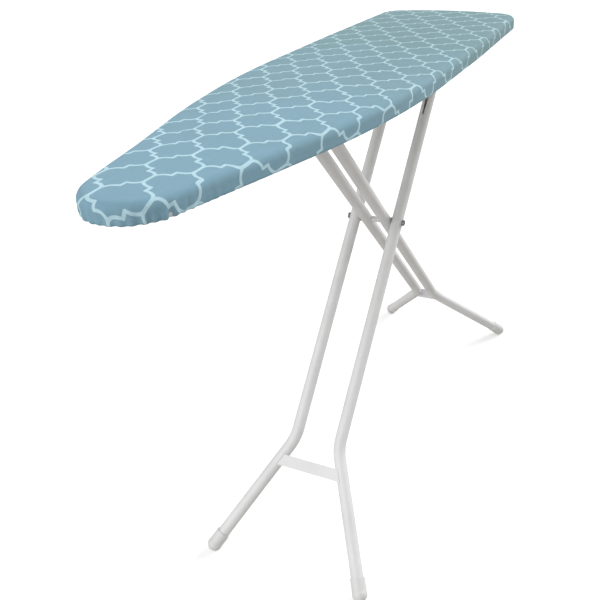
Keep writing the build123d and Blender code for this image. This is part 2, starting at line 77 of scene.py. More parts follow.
for blend, socket in ((floor_tone, "Base Color"), (floor_glow, "Emission Color")):
    floor_finish.node_tree.links.new(seen.outputs["Is Camera Ray"], blend.inputs["Factor"])
    floor_finish.node_tree.links.new(blend.outputs["Result"], floor_shader.inputs[socket])
floor_shader.inputs["Emission Strength"].default_value = 1.0
floor_shader.inputs["Roughness"].default_value = 0.9
floor_shader.inputs["Specular IOR Level"].default_value = 0.1
floor_sheet.data.materials.append(floor_finish)

surround = bpy.data.worlds.new("surround")
bpy.context.scene.world = surround
surround.use_nodes = True
sky = surround.node_tree.nodes["Background"]
sky.inputs["Strength"].default_value = 1.0
in_view = surround.node_tree.nodes.new("ShaderNodeLightPath")
sky_tone = surround.node_tree.nodes.new("ShaderNodeMix")
sky_tone.data_type = "RGBA"
sky_tone.inputs["A"].default_value = (0.43, 0.425, 0.42, 1)
sky_tone.inputs["B"].default_value = (1.0, 1.0, 1.0, 1)
surround.node_tree.links.new(in_view.outputs["Is Camera Ray"], sky_tone.inputs["Factor"])
surround.node_tree.links.new(sky_tone.outputs["Result"], sky.inputs["Color"])

for name, direction, strength, angle in (
        ("light_left", (-0.90, 0.32, 0.66), 1.75, 60),
        ("light_right", (0.90, -0.50, 0.50), 2.5, 35)):
    sun = bpy.data.lights.new(name, "SUN")
    sun.energy = strength
    sun.angle = radians(angle)
    sun_object = bpy.data.objects.new(name, sun)
    sun_object.rotation_euler = Vector(direction).to_track_quat("Z", "Y").to_euler()
    bpy.context.scene.collection.objects.link(sun_object)

# ---- Cover ----
# One piece of printed cotton, cut wider than the board, pulled over the felt, down the rim and
# in under it by an elastic in its hem. Round the nose the spare cloth stands in gathers.
low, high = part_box("cover")
half_length = (high.x - low.x) / 2
half_width = (high.y - low.y) / 2
surface = high.z
hem_level = low.z
nose_radius = 0.068
flank_angle = radians(14.6)
shoulder_radius = 1.765
side_break_x = 0.300
side_break_radius = 3.0
tail_half_width = 0.172
tail_corner_radius = 0.052
tail_lean = radians(12.0)
tail_radius = 0.457
cloth_thickness = 0.0008
edge_radius = 0.012
hem_radius = 0.004
hem_reach = 0.017
outline_step = 0.0045
gather_height = 0.0040
gather_spacing = 0.0135
cross_gather_spacing = 0.0215
bag_height = 0.0055
print_pull = (0.0145, 0.0165)
stitch_inset = 0.0085
weave_pitch = 0.0011
# How far the settled cloth may move from its made shape: inwards, outwards and along the edge.
settle_in = 0.0008
settle_out = 0.0045
settle_aside = 0.004


def board_corners():
    """Corners of the top's outline, anticlockwise from the tail, each with its rounding radius."""
    nose_x = nose_radius - half_length - nose_radius / sin(flank_angle)
    shoulder_x = nose_x + half_width / tan(flank_angle)
    tail_x = half_length + tail_radius * (1 / cos(tail_lean) - 1)
    corner_x = tail_x - tail_half_width * tan(tail_lean)
    far = [(tail_x, 0.0, tail_radius), (corner_x, tail_half_width, tail_corner_radius),
           (side_break_x, half_width, side_break_radius),
           (shoulder_x, half_width, shoulder_radius), (nose_x, 0.0, nose_radius)]
    return far + [(x, -y, r) for x, y, r in reversed(far[1:-1])]


def board_edge(step):
    """Walks round the outline: (centre of curvature or point, outward direction, radius)."""
    corners = board_corners()
    walk = []
    for i, (x, y, radius) in enumerate(corners):
        corner = Vector((x, y))
        before = (Vector(corners[i - 1][:2]) - corner).normalized()
        after = (Vector(corners[(i + 1) % len(corners)][:2]) - corner).normalized()
        half_angle = before.angle(after) / 2
        middle = (before + after).normalized()
        centre = corner + middle * (radius / sin(half_angle))
        start = corner + before * (radius / tan(half_angle))
        end = corner + after * (radius / tan(half_angle))
        sweep = pi - 2 * half_angle
        fine = step / 2 if radius < 0.1 else step
        count = max(6, int(sweep * radius / fine))
        out = (start - centre).normalized()
        if walk:
            run = start - walk[-1][0] - walk[-1][1] * walk[-1][2]
            straight(walk, run, out, step)
        for k in range(count + 1):
            angle = sweep * k / count
            turned = Vector((out.x * cos(angle) - out.y * sin(angle),
                             out.x * sin(angle) + out.y * cos(angle)))
            walk.append((centre, turned, radius))
    first = walk[0][0] + walk[0][1] * walk[0][2]
    straight(walk, first - walk[-1][0] - walk[-1][1] * walk[-1][2], walk[0][1], step)
    return walk


def straight(walk, run, out, step):
    """Adds the points between two roundings to the walk."""
    base = walk[-1][0] + walk[-1][1] * walk[-1][2]
    count = int(run.length / step)
    for k in range(1, count):
        walk.append((base + run * (k / count), out, 0.0))


def ring(walk, shift):
    """The outline moved outwards by shift, or inwards if it is negative."""
    points = []
    for centre, out, radius in walk:
        points.append(centre + out * (radius + shift))
    return points


def lofted(name, rings, close_low=False):
    """A mesh through rings of points, closed over the first ring, and over the last if asked."""
    mesh = bpy.data.meshes.new(name)
    bm = bmesh.new()
    grid = [[bm.verts.new(p) for p in points] for points in rings]
    count = len(grid[0])
    for upper, lower in zip(grid, grid[1:]):
        for k in range(count):
            n = (k + 1) % count
            bm.faces.new((upper[k], lower[k], lower[n], upper[n]))
    bm.faces.new(grid[0])
    if close_low:
        bm.faces.new(list(reversed(grid[-1])))
    for face in bm.faces:
        face.smooth = True
    bm.to_mesh(mesh)
    bm.free()
    piece = bpy.data.objects.new(name, mesh)
    bpy.context.scene.collection.objects.link(piece)
    return piece


def hem_profile():
    """The cover's section from the middle out: (shift, height, distance along the cloth)."""
    section = [(-0.052, surface), (-0.044, surface), (-0.036, surface - 0.0001),
               (-0.029, surface - 0.0003), (-0.023, surface - 0.0006),
               (-0.018, surface - 0.001)]
    top = surface - 0.0013
    for k in range(7):
        a = radians(90 * k / 6)
        section.append((edge_radius * (sin(a) - 1), top - edge_radius * (1 - cos(a))))
    side_top = top - edge_radius
    side_low = hem_level + hem_radius
    for k in range(1, 8):
        section.append((0.0, side_top + (side_low - side_top) * k / 7))
    for k in range(1, 5):
        a = radians(90 * k / 4)
        section.append((hem_radius * (cos(a) - 1), side_low - hem_radius * sin(a)))
    for k in range(1, 6):
        section.append((-hem_radius - (hem_reach - hem_radius) * k / 5, hem_level))
    along = 0.0
    lengths = [0.0]
    for (s0, z0), (s1, z1) in zip(section, section[1:]):
        along += sqrt((s1 - s0) ** 2 + (z1 - z0) ** 2)
        lengths.append(along)
    return [(s, z, section[0][0] + d) for (s, z), d in zip(section, lengths)]


walk = board_edge(outline_step)
section = hem_profile()
columns = len(walk)
edge_line = ring(walk, 0.0)
travelled = [0.0]
for k in range(1, columns):
    travelled.append(travelled[-1] + (edge_line[k] - edge_line[k - 1]).length)
nose_place = travelled[min(range(columns), key=lambda k: edge_line[k].x)]
round_edge = travelled[-1] + (edge_line[0] - edge_line[-1]).length


def fullness(k):
    """How gathered the hem is: most round the nose, some at the tail's corners, little between."""
    away = abs(travelled[k] - nose_place)
    away = min(away, round_edge - away)
    round_nose = max(0.0, 1 - max(0.0, away - 0.09) / 0.16)
    bunched = max(0.0, 1 - abs(travelled[k] - nose_place - 0.085) / 0.05)
    round_nose *= 1 + 0.7 * bunched
    corner = 0.45 if walk[k][2] == tail_corner_radius else 0.0
    return max(round_nose, corner, 0.10)


def gather_wave(k, depth):
    """Height of the gathers at one place round the hem; their spacing wanders."""
    s = travelled[k]
    wander = noise.noise(Vector((s * 16, 3.1, 0.0))) * 2.2
    wave = (sin(s * 2 * pi / gather_spacing + wander)
            + 0.5 * sin(s * 2 * pi / cross_gather_spacing + 2 * wander + 1.0))
    lean = noise.noise(Vector((s * 45, depth * 30, 7.0)))
    ridge = wave / (1 + 0.35 * abs(wave))
    return 0.75 * ridge + 0.4 * lean


def bagging(place):
    """How far the cloth stands off the board: a little, round the far side of the nose."""
    near_nose = min(1.0, max(0.0, (-0.47 - place.x) / 0.13))
    far_side = min(1.0, max(0.0, (place.y + 0.055) / 0.08))
    return bag_height * near_nose * near_nose * (3 - 2 * near_nose) * far_side


rings = []
for shift, z, along in section:
    depth = max(0.0, along + 0.004) / 0.045
    loose = min(1.0, max(0.0, (along + 0.052) / 0.045))
    points = []
    for k, p in enumerate(ring(walk, shift)):
        gather = fullness(k) * min(depth, 1.0) ** 1.5 * gather_wave(k, depth)
        lift = gather_height * gather
        out = walk[k][1]
        soft = 0.0006 * noise.noise(Vector((p.x * 9, p.y * 9, 2.0))) if shift > -0.05 else 0.0
        bag = loose * bagging(p)
        if shift < -hem_radius and z < surface - 0.02:
            points.append((p.x + out.x * bag, p.y + out.y * bag, z + max(-0.0002, 0.6 * lift)))
        elif along > -0.012:
            stand = lift + soft + bag
            points.append((p.x + out.x * stand, p.y + out.y * stand, z))
        else:
            rise = soft * (0.052 + shift) / 0.04
            points.append((p.x + out.x * bag, p.y + out.y * bag, z + rise))
    rings.append(points)
cover = lofted("printed_cover", rings)

# The print follows the cloth, so each point keeps its place on the flat piece it was cut from.
flat_rings = [ring(walk, along) for shift, z, along in section]


def slipped(place):
    """Where a point of the board meets the print: pulled askew towards the nose by the elastic."""
    pull = min(1.0, max(0.0, (-0.375 - place.x) / 0.19))
    pull *= pull * (3 - 2 * pull)
    pull *= min(1.0, max(0.15, (place.y + 0.125) / 0.125))
    return place - Vector(print_pull) * pull


cut = cover.data.uv_layers.new(name="cut")
edge_map = cover.data.uv_layers.new(name="edge")
for loop in cover.data.loops:
    row, column = divmod(loop.vertex_index, columns)
    cut.data[loop.index].uv = slipped(flat_rings[row][column])
    edge_map.data[loop.index].uv = (travelled[column], section[row][2])

# Let the cloth settle: it wants its flat size back, and only the hem's folds can take it up.
cover.shape_key_add(name="made")
flat = cover.shape_key_add(name="flat")
for index, point in enumerate(flat.data):
    row, column = divmod(index, columns)
    spread = flat_rings[row][column]
    point.co = (spread.x, spread.y, 0.0)
held = cover.vertex_groups.new(name="held")
last_row = len(section) - 1
for index in range(len(cover.data.vertices)):
    row = index // columns
    grip = 1.0 if section[row][2] < -0.010 or row == last_row else 0.0
    held.add([index], grip, "REPLACE")
settle = cover.modifiers.new("settle", "CLOTH")
settle.settings.quality = 3
settle.settings.mass = 0.15
settle.settings.tension_stiffness = 12
settle.settings.compression_stiffness = 12
settle.settings.shear_stiffness = 4
settle.settings.bending_stiffness = 0.08
settle.settings.air_damping = 4
settle.settings.vertex_group_mass = "held"
settle.settings.rest_shape_key = flat
settle.settings.effector_weights.gravity = 0
settle.collision_settings.use_collision = False
settle.collision_settings.use_self_collision = False
scene = bpy.context.scene
for moment in range(1, 8):
    scene.frame_set(moment)
evaluated = cover.evaluated_get(bpy.context.evaluated_depsgraph_get())
settled = [v.co.copy() for v in evaluated.data.vertices]
scene.frame_set(1)
cover.modifiers.remove(settle)
cover.shape_key_clear()
for index, vertex in enumerate(cover.data.vertices):
    row, column = divmod(index, columns)
    out = Vector((walk[column][1].x, walk[column][1].y, 0.0))
    made = vertex.co.copy()
    move = settled[index] - made
    outward = max(-settle_in, min(settle_out, move.dot(out)))
    aside = move - out * move.dot(out)
    if aside.length > settle_aside:
        aside *= settle_aside / aside.length
    vertex.co = made + out * outward + aside

thicken = cover.modifiers.new("cloth_thickness", "SOLIDIFY")
thicken.thickness = cloth_thickness
thicken.offset = -1
bpy.ops.object.select_all(action="DESELECT")
bpy.context.view_layer.objects.active = cover
cover.select_set(True)
bpy.ops.object.modifier_apply(modifier="cloth_thickness")


def maths(tree, kind, a, b=0.0, c=0.0):
    """A Math node whose inputs are numbers or other nodes' outputs; returns its output."""
    step = tree.nodes.new("ShaderNodeMath")
    step.operation = kind
    for socket, value in zip(step.inputs, (a, b, c)):
        if isinstance(value, (int, float)):
            socket.default_value = value
        else:
            tree.links.new(value, socket)
    return step.outputs[0]


# Trellis print: curved tiles with a small step halfway along each side.
tile_half_length = 0.0522
tile_half_width = 0.0354
tile_origin = (-0.3466, 0.2222)
line_half_width = 0.0023
link_half_length = 0.0080
step_half_length = 0.0053


def trellis_group():
    """Node group: place on the cloth in, 1 on the printed lines and 0 between them out."""
    group = bpy.data.node_groups.new("trellis_print", "ShaderNodeTree")
    group.interface.new_socket("Place", in_out="INPUT", socket_type="NodeSocketVector")
    group.interface.new_socket("Line", in_out="OUTPUT", socket_type="NodeSocketFloat")
    entry = group.nodes.new("NodeGroupInput")
    way_out = group.nodes.new("NodeGroupOutput")
    split = group.nodes.new("ShaderNodeSeparateXYZ")
    group.links.new(entry.outputs["Place"], split.inputs[0])

    def folded(value, origin, half):
        """Mirrors the cloth into one quarter of a tile: 0 at a lattice point, half at the next."""
        shifted = maths(group, "ADD", value, -origin)
        return maths(group, "PINGPONG", shifted, half)

    x = folded(split.outputs[0], tile_origin[0], tile_half_length)
    y = folded(split.outputs[1], tile_origin[1], tile_half_width)
    # The quarter tile is the same turned half round, so only its lower half is drawn.
    middle = tile_half_width / 2
    upper = maths(group, "GREATER_THAN", y, middle)

    def turned(value, whole):
        other = maths(group, "SUBTRACT", whole, value)
        gap = maths(group, "SUBTRACT", other, value)
        return maths(group, "MULTIPLY_ADD", gap, upper, value)

    x = turned(x, tile_half_length)
    y = turned(y, tile_half_width)
    arc_length = tile_half_length / 2 - link_half_length - step_half_length
    across = maths(group, "DIVIDE", maths(group, "SUBTRACT", x, link_half_length), arc_length)
    rise = maths(group, "DIVIDE", maths(group, "SUBTRACT", middle, y), middle)
    reach = maths(group, "SQRT", maths(group, "ADD", maths(group, "MULTIPLY", across, across),
                                       maths(group, "MULTIPLY", rise, rise)))
    slope_x = maths(group, "DIVIDE", across, arc_length)
    slope_y = maths(group, "DIVIDE", rise, middle)
    slope = maths(group, "SQRT", maths(group, "ADD", maths(group, "MULTIPLY", slope_x, slope_x),
                                       maths(group, "MULTIPLY", slope_y, slope_y)))
    off = maths(group, "ABSOLUTE", maths(group, "SUBTRACT", reach, 1.0))
    arc = maths(group, "DIVIDE", maths(group, "MULTIPLY", off, reach),
                maths(group, "MAXIMUM", slope, 1.0))
    before = maths(group, "LESS_THAN", x, link_half_length)
    arc = maths(group, "MULTIPLY_ADD", before, 1.0, arc)
    past = maths(group, "MAXIMUM", maths(group, "SUBTRACT", x, link_half_length), 0.0)
    link = maths(group, "SQRT", maths(group, "ADD", maths(group, "MULTIPLY", past, past),
                                      maths(group, "MULTIPLY", y, y)))
    from_middle = maths(group, "ABSOLUTE", maths(group, "SUBTRACT", x, tile_half_length / 2))
    beyond = maths(group, "MAXIMUM",
                   maths(group, "SUBTRACT", from_middle, step_half_length), 0.0)
    below = maths(group, "SUBTRACT", middle, y)
    step = maths(group, "SQRT", maths(group, "ADD", maths(group, "MULTIPLY", beyond, beyond),
                                      maths(group, "MULTIPLY", below, below)))
    nearest = maths(group, "MINIMUM", maths(group, "MINIMUM", arc, link), step)
    line = group.nodes.new("ShaderNodeMapRange")
    line.interpolation_type = "SMOOTHSTEP"
    group.links.new(nearest, line.inputs["Value"])
    line.inputs["From Min"].default_value = line_half_width + 0.0003
    line.inputs["From Max"].default_value = line_half_width - 0.0003
    group.links.new(line.outputs["Result"], way_out.inputs["Line"])
    return group


def weave_group():
    """Node group: a plain weave. Gives the threads' height and how uneven they are."""
    group = bpy.data.node_groups.new("plain_weave", "ShaderNodeTree")
    group.interface.new_socket("Place", in_out="INPUT", socket_type="NodeSocketVector")
    group.interface.new_socket("Pitch", in_out="INPUT", socket_type="NodeSocketFloat")
    group.interface.new_socket("Height", in_out="OUTPUT", socket_type="NodeSocketFloat")
    group.interface.new_socket("Slub", in_out="OUTPUT", socket_type="NodeSocketFloat")
    entry = group.nodes.new("NodeGroupInput")
    way_out = group.nodes.new("NodeGroupOutput")
    scaled = group.nodes.new("ShaderNodeVectorMath")
    scaled.operation = "DIVIDE"
    group.links.new(entry.outputs["Place"], scaled.inputs[0])
    pitch = group.nodes.new("ShaderNodeCombineXYZ")
    for socket in pitch.inputs:
        group.links.new(entry.outputs["Pitch"], socket)
    group.links.new(pitch.outputs[0], scaled.inputs[1])
    split = group.nodes.new("ShaderNodeSeparateXYZ")
    group.links.new(scaled.outputs[0], split.inputs[0])
    warp = maths(group, "SINE", maths(group, "MULTIPLY", split.outputs[0], 2 * pi))
    weft = maths(group, "SINE", maths(group, "MULTIPLY", split.outputs[1], 2 * pi))
    group.links.new(maths(group, "MULTIPLY", warp, weft), way_out.inputs["Height"])
    stretched = group.nodes.new("ShaderNodeVectorMath")
    stretched.operation = "MULTIPLY"
    stretched.inputs[1].default_value = (0.02, 0.6, 0.0)
    group.links.new(scaled.outputs[0], stretched.inputs[0])
    threads = group.nodes.new("ShaderNodeTexNoise")
    threads.inputs["Scale"].default_value = 1.0
    threads.inputs["Detail"].default_value = 3.0
    group.links.new(stretched.outputs[0], threads.inputs["Vector"])
    group.links.new(threads.outputs["Fac"], way_out.inputs["Slub"])
    return group


trellis = trellis_group()
weave = weave_group()


def printed_cotton():
    """Blue-grey cotton with the pale trellis printed on it, a soft sheen and a stitched hem."""
    finish = bpy.data.materials.new("printed_cotton")
    finish.use_nodes = True
    tree = finish.node_tree
    shader = tree.nodes["Principled BSDF"]
    place = tree.nodes.new("ShaderNodeUVMap")
    place.uv_map = "cut"
    print_lines = tree.nodes.new("ShaderNodeGroup")
    print_lines.node_tree = trellis
    cloth = tree.nodes.new("ShaderNodeGroup")
    cloth.node_tree = weave
    cloth.inputs["Pitch"].default_value = weave_pitch
    tree.links.new(place.outputs[0], cloth.inputs["Place"])
    # Printed lines wander very slightly with the cloth.
    wobble = tree.nodes.new("ShaderNodeTexNoise")
    wobble.inputs["Scale"].default_value = 55.0
    tree.links.new(place.outputs[0], wobble.inputs["Vector"])
    nudge = tree.nodes.new("ShaderNodeVectorMath")
    nudge.operation = "MULTIPLY_ADD"
    nudge.inputs[1].default_value = (0.0016, 0.0016, 0.0)
    tree.links.new(wobble.outputs["Color"], nudge.inputs[0])
    tree.links.new(place.outputs[0], nudge.inputs[2])
    tree.links.new(nudge.outputs[0], print_lines.inputs["Place"])
    # Painted light: the cloth's colour ramps from a lighter blue at the nose to a darker, greyer
    # green at the tail, a painted gradient of brighter light on the nose end of the top; random
    # noise makes the tone uneven over it.
    drift = tree.nodes.new("ShaderNodeTexNoise")
    drift.inputs["Scale"].default_value = 5.5
    drift.inputs["Detail"].default_value = 2.0
    tree.links.new(place.outputs[0], drift.inputs["Vector"])
    along_board = tree.nodes.new("ShaderNodeSeparateXYZ")
    tree.links.new(place.outputs[0], along_board.inputs[0])
    # Painted shade: this ramp along the board darkens the colour towards the tail.
    painted_shade_to_tail = maths(tree, "MULTIPLY_ADD", along_board.outputs[0], 1.25, 0.10)
    uneven_and_painted_light = maths(tree, "MULTIPLY_ADD", drift.outputs["Fac"], 0.9, painted_shade_to_tail)
    spread = tree.nodes.new("ShaderNodeMapRange")
    spread.inputs["From Min"].default_value = 0.0
    spread.inputs["From Max"].default_value = 1.0
    tree.links.new(uneven_and_painted_light, spread.inputs["Value"])

    # Mixes the nose and tail colours by the painted nose-to-tail light ramp plus random tone.
    def tone_and_painted_light(nose_colour, tail_colour):
        blend = tree.nodes.new("ShaderNodeMix")
        blend.data_type = "RGBA"
        blend.inputs["A"].default_value = nose_colour
        blend.inputs["B"].default_value = tail_colour
        tree.links.new(spread.outputs["Result"], blend.inputs["Factor"])
        return blend.outputs["Result"]

    inked = tree.nodes.new("ShaderNodeMix")
    inked.data_type = "RGBA"
    tree.links.new(print_lines.outputs["Line"], inked.inputs["Factor"])
    tree.links.new(tone_and_painted_light((0.220, 0.395, 0.500, 1), (0.188, 0.325, 0.358, 1)), inked.inputs["A"])
    tree.links.new(tone_and_painted_light((0.500, 0.730, 0.830, 1), (0.420, 0.620, 0.675, 1)), inked.inputs["B"])
    # Uneven threads darken and lighten the cloth in short streaks.
    slub = tree.nodes.new("ShaderNodeMix")
    slub.data_type = "RGBA"
    slub.blend_type = "MULTIPLY"
    slub.inputs["Factor"].default_value = 1.0
    tone = tree.nodes.new("ShaderNodeMapRange")
    tone.inputs["To Min"].default_value = 0.90
    tone.inputs["To Max"].default_value = 1.08
    tree.links.new(cloth.outputs["Slub"], tone.inputs["Value"])
    tree.links.new(inked.outputs["Result"], slub.inputs["A"])
    tree.links.new(tone.outputs["Result"], slub.inputs["B"])
    # One row of hem stitches, in the turned-in part under the board.
    edge = tree.nodes.new("ShaderNodeUVMap")
    edge.uv_map = "edge"
    split = tree.nodes.new("ShaderNodeSeparateXYZ")
    tree.links.new(edge.outputs[0], split.inputs[0])
    stitch_row = section[-1][2] - stitch_inset
    near = maths(tree, "ABSOLUTE", maths(tree, "ADD", split.outputs[1], -stitch_row))
    in_row = maths(tree, "LESS_THAN", near, 0.0005)
    dash = maths(tree, "FRACT", maths(tree, "DIVIDE", split.outputs[0], 0.0032))
    stitch = maths(tree, "MULTIPLY", in_row, maths(tree, "LESS_THAN", dash, 0.7))
    sewn = tree.nodes.new("ShaderNodeMix")
    sewn.data_type = "RGBA"
    sewn.inputs["B"].default_value = (0.55, 0.66, 0.68, 1)
    tree.links.new(stitch, sewn.inputs["Factor"])
    tree.links.new(slub.outputs["Result"], sewn.inputs["A"])
    tree.links.new(sewn.outputs["Result"], shader.inputs["Base Color"])
    # Threads, stitches and the felt's slight unevenness under the cloth.
    felt = tree.nodes.new("ShaderNodeTexNoise")
    felt.inputs["Scale"].default_value = 26.0
    felt.inputs["Detail"].default_value = 3.0
    tree.links.new(place.outputs[0], felt.inputs["Vector"])
    height = maths(tree, "MULTIPLY_ADD", cloth.outputs["Height"], 0.00006,
                   maths(tree, "MULTIPLY", felt.outputs["Fac"], 0.0011))
    height = maths(tree, "MULTIPLY_ADD", stitch, 0.0003, height)
    relief = tree.nodes.new("ShaderNodeBump")
    relief.inputs["Strength"].default_value = 1.0
    relief.inputs["Distance"].default_value = 1.0
    tree.links.new(height, relief.inputs["Height"])
    tree.links.new(relief.outputs[0], shader.inputs["Normal"])
    shader.inputs["Roughness"].default_value = 0.78
    shader.inputs["Specular IOR Level"].default_value = 0.3
    shader.inputs["Sheen Weight"].default_value = 0.08
    shader.inputs["Sheen Roughness"].default_value = 0.45
    return finish


cover.data.materials.append(printed_cotton())
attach(cover, "board")
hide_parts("cover")

# ---- Felt pad ----
# A needled felt, cut to the board's outline and laid loose on the steel deck.
pad_low, pad_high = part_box("pad")
pad_inset = half_length - pad_high.x
pad_round = 0.0055
pad_side_gap = 0.0016
pad_walk = board_edge(0.010)
pad_rings = []
for shift, z in ((-0.05, pad_high.z - 0.0004), (-0.03, pad_high.z - 0.0008),
                 (-0.018, pad_high.z - 0.0014)):
    pad_rings.append([(p.x, p.y, z) for p in ring(pad_walk, shift - pad_inset)])
for k in range(6):
    a = radians(18 * k)
    z = pad_high.z - 0.0022 - pad_round * (1 - cos(a))
    shift = pad_round * (sin(a) - 1) - pad_side_gap
    pad_rings.append([(p.x, p.y, z) for p in ring(pad_walk, shift - pad_inset)])
pad_rings.append([(p.x, p.y, pad_low.z) for p in ring(pad_walk, -pad_side_gap - pad_inset)])
felt_pad = lofted("ironing_felt", pad_rings, close_low=True)


def felt_finish(name, colour):
    """Matted grey fibres."""
    finish = bpy.data.materials.new(name)
    finish.use_nodes = True
    tree = finish.node_tree
    shader = tree.nodes["Principled BSDF"]
    place = tree.nodes.new("ShaderNodeTexCoord")
    fibres = tree.nodes.new("ShaderNodeTexNoise")
    fibres.inputs["Scale"].default_value = 900.0
    fibres.inputs["Detail"].default_value = 6.0
    tree.links.new(place.outputs["Object"], fibres.inputs["Vector"])
    blend = tree.nodes.new("ShaderNodeMix")
    blend.data_type = "RGBA"
    blend.inputs["A"].default_value = tuple(0.7 * c for c in colour) + (1,)
    blend.inputs["B"].default_value = tuple(colour) + (1,)
    tree.links.new(fibres.outputs["Fac"], blend.inputs["Factor"])
    tree.links.new(blend.outputs["Result"], shader.inputs["Base Color"])
    bump = tree.nodes.new("ShaderNodeBump")
    bump.inputs["Strength"].default_value = 0.5
    bump.inputs["Distance"].default_value = 0.0006
    tree.links.new(fibres.outputs["Fac"], bump.inputs["Height"])
    tree.links.new(bump.outputs[0], shader.inputs["Normal"])
    shader.inputs["Roughness"].default_value = 0.95
    return finish


felt_pad.data.materials.append(felt_finish("felt", (0.60, 0.60, 0.57)))
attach(felt_pad, "board")
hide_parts("pad")


# ---- Hem elastic ----
# A flat woven elastic that runs round inside the hem.
def elastic_finish():
    """White elastic with ribs across it."""
    finish = bpy.data.materials.new("woven_elastic")
    finish.use_nodes = True
    tree = finish.node_tree
    shader = tree.nodes["Principled BSDF"]
    place = tree.nodes.new("ShaderNodeTexCoord")
    threads = tree.nodes.new("ShaderNodeGroup")
    threads.node_tree = weave
    threads.inputs["Pitch"].default_value = 0.0008
    tree.links.new(place.outputs["Object"], threads.inputs["Place"])
    tone = tree.nodes.new("ShaderNodeMix")
    tone.data_type = "RGBA"
    tone.inputs["A"].default_value = (0.62, 0.64, 0.64, 1)
    tone.inputs["B"].default_value = (0.78, 0.79, 0.79, 1)
    tree.links.new(threads.outputs["Slub"], tone.inputs["Factor"])
    tree.links.new(tone.outputs["Result"], shader.inputs["Base Color"])
    bump = tree.nodes.new("ShaderNodeBump")
    bump.inputs["Strength"].default_value = 0.6
    bump.inputs["Distance"].default_value = 0.0002
    tree.links.new(threads.outputs["Height"], bump.inputs["Height"])
    tree.links.new(bump.outputs[0], shader.inputs["Normal"])
    shader.inputs["Roughness"].default_value = 0.85
    return finish


def give(finish, *names):
    """Puts one finish on carried-over parts."""
    for name in names:
        nodes[name].data.materials.clear()
        nodes[name].data.materials.append(finish)


give(elastic_finish(), "hem_elastic")


# ---- Painted steel ----
# The deck, its underside channels and both leg frames are powder coated in one pale grey.
def coat_group():
    """Node group: powder coat. Slight orange peel, faint dust in the tone, a few rubbed places."""
    group = bpy.data.node_groups.new("powder_coat", "ShaderNodeTree")
    group.interface.new_socket("Tone", in_out="INPUT", socket_type="NodeSocketColor")
    group.interface.new_socket("Peel", in_out="INPUT", socket_type="NodeSocketFloat")
    group.interface.new_socket("Colour", in_out="OUTPUT", socket_type="NodeSocketColor")
    group.interface.new_socket("Roughness", in_out="OUTPUT", socket_type="NodeSocketFloat")
    group.interface.new_socket("Height", in_out="OUTPUT", socket_type="NodeSocketFloat")
    entry = group.nodes.new("NodeGroupInput")
    way_out = group.nodes.new("NodeGroupOutput")
    place = group.nodes.new("ShaderNodeTexCoord")
    dust = group.nodes.new("ShaderNodeTexNoise")
    dust.inputs["Scale"].default_value = 18.0
    dust.inputs["Detail"].default_value = 4.0
    group.links.new(place.outputs["Object"], dust.inputs["Vector"])
    dusty = group.nodes.new("ShaderNodeMapRange")
    dusty.inputs["From Min"].default_value = 0.3
    dusty.inputs["From Max"].default_value = 0.7
    dusty.inputs["To Min"].default_value = 0.955
    dusty.inputs["To Max"].default_value = 1.03
    group.links.new(dust.outputs["Fac"], dusty.inputs["Value"])
    toned = group.nodes.new("ShaderNodeMix")
    toned.data_type = "RGBA"
    toned.blend_type = "MULTIPLY"
    toned.inputs["Factor"].default_value = 1.0
    group.links.new(entry.outputs["Tone"], toned.inputs["A"])
    group.links.new(dusty.outputs["Result"], toned.inputs["B"])
    group.links.new(toned.outputs["Result"], way_out.inputs["Colour"])
    rubbed = group.nodes.new("ShaderNodeMapRange")
    rubbed.inputs["To Min"].default_value = 0.38
    rubbed.inputs["To Max"].default_value = 0.54
    group.links.new(dust.outputs["Fac"], rubbed.inputs["Value"])
    group.links.new(rubbed.outputs["Result"], way_out.inputs["Roughness"])
    peel = group.nodes.new("ShaderNodeTexNoise")
    peel.inputs["Scale"].default_value = 620.0
    peel.inputs["Detail"].default_value = 1.0
    group.links.new(place.outputs["Object"], peel.inputs["Vector"])
    group.links.new(maths(group, "MULTIPLY", peel.outputs["Fac"], entry.outputs["Peel"]),
                    way_out.inputs["Height"])
    return group


coat = coat_group()


def painted(name, colour, peel, clear):
    """A powder-coated finish in one colour."""
    finish = bpy.data.materials.new(name)
    finish.use_nodes = True
    tree = finish.node_tree
    shader = tree.nodes["Principled BSDF"]
    film = tree.nodes.new("ShaderNodeGroup")
    film.node_tree = coat
    film.inputs["Tone"].default_value = tuple(colour) + (1,)
    film.inputs["Peel"].default_value = peel
    bump = tree.nodes.new("ShaderNodeBump")
    bump.inputs["Strength"].default_value = 1.0
    bump.inputs["Distance"].default_value = 1.0
    tree.links.new(film.outputs["Colour"], shader.inputs["Base Color"])
    tree.links.new(film.outputs["Roughness"], shader.inputs["Roughness"])
    tree.links.new(film.outputs["Height"], bump.inputs["Height"])
    tree.links.new(bump.outputs[0], shader.inputs["Normal"])
    shader.inputs["Coat Weight"].default_value = clear
    shader.inputs["Coat Roughness"].default_value = 0.22
    return finish


leg_paint = painted("leg_paint", (0.76, 0.775, 0.775), 0.00006, 0.12)
deck_paint = painted("deck_paint", (0.72, 0.73, 0.73), 0.00010, 0.03)
give(deck_paint, "deck", "rim", "rib_far", "rib_near", "strap_front", "strap_middle",
     "strap_rear", "pivot_bracket", "height_track", "lever_hanger")
give(leg_paint, "outer_tube_far", "outer_tube_near", "inner_tube_far", "inner_tube_near",
     "outer_crossbar", "inner_crossbar", "centre_sleeve")


